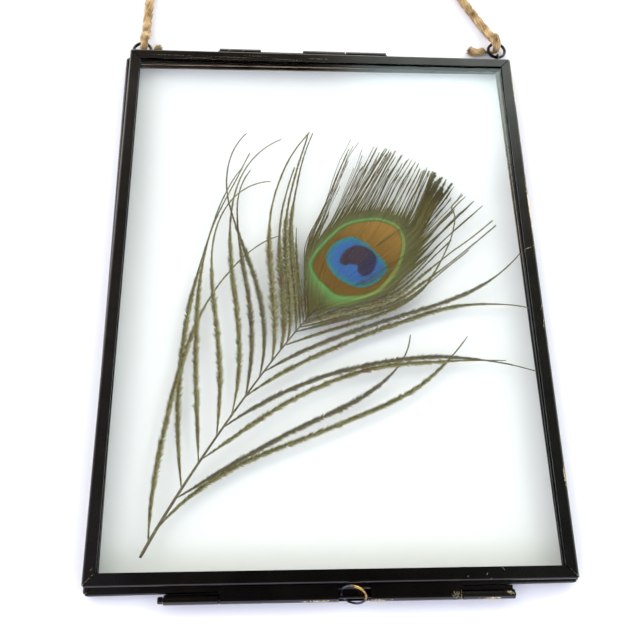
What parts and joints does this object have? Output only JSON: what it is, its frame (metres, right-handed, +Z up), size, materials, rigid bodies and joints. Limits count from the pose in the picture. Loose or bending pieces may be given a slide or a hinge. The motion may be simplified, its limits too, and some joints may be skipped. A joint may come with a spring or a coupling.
{
  "type": "framed peacock feather",
  "caption": "Peacock feather pressed between glass panes in a hinged blackened metal frame with a pin closure, hanging rings and jute twine.",
  "frame": {"origin": "middle of the outline of everything but the twine and its knots, at the level of the table that the back half lies on", "axes": "+X to the right across the frame seen from its front, +Y along its length to the hinge, rings and twine, +Z up out of the front pane"},
  "size_m": [0.1612, 0.3149, 0.0081],
  "materials": {
    "blackened_metal": "black paint rubbed back to brass at the edges",
    "brass": "aged",
    "glass": "clear",
    "feather": "iridescent barbs, olive brown with a blue, bronze and green eye",
    "twine": "twisted natural jute"
  },
  "bodies": {
    "back_half": {"back_rail_top": "blackened_metal", "back_rail_bottom": "blackened_metal", "back_rail_left": "blackened_metal", "back_rail_right": "blackened_metal", "back_glass": "glass", "feather": "feather", "hinge_knuckle_back_left": "blackened_metal", "hinge_knuckle_back_right": "blackened_metal", "hinge_pin": "blackened_metal", "closure_tube_back_left": "blackened_metal", "closure_tube_back_right": "blackened_metal", "closure_lip": "blackened_metal", "hanging_ring_left": "blackened_metal", "hanging_ring_right": "blackened_metal", "ring_eye_left": "blackened_metal", "ring_eye_right": "blackened_metal", "twine": "twine", "twine_knot_left": "twine", "twine_knot_right": "twine"},
    "front_half": {"front_rail_top": "blackened_metal", "front_rail_bottom": "blackened_metal", "front_rail_left": "blackened_metal", "front_rail_right": "blackened_metal", "front_glass": "glass", "hinge_knuckle_front": "blackened_metal", "closure_tube_front_left": "blackened_metal", "closure_tube_front_right": "blackened_metal", "closure_ring": "brass"},
    "closure_pin": {"closure_pin": "blackened_metal"}
  },
  "joints": [
    {"name": "front_hinge", "type": "hinge", "parent": "back_half", "child": "front_half", "pos_m": [0, 0.1021, 0.00355], "axis": [-1, 0, 0], "range_deg": [0, 90]},
    {"name": "pin_slide", "type": "slide", "parent": "back_half", "child": "closure_pin", "axis": [-1, 0, 0], "range_m": [0, 0.112]}
  ]
}
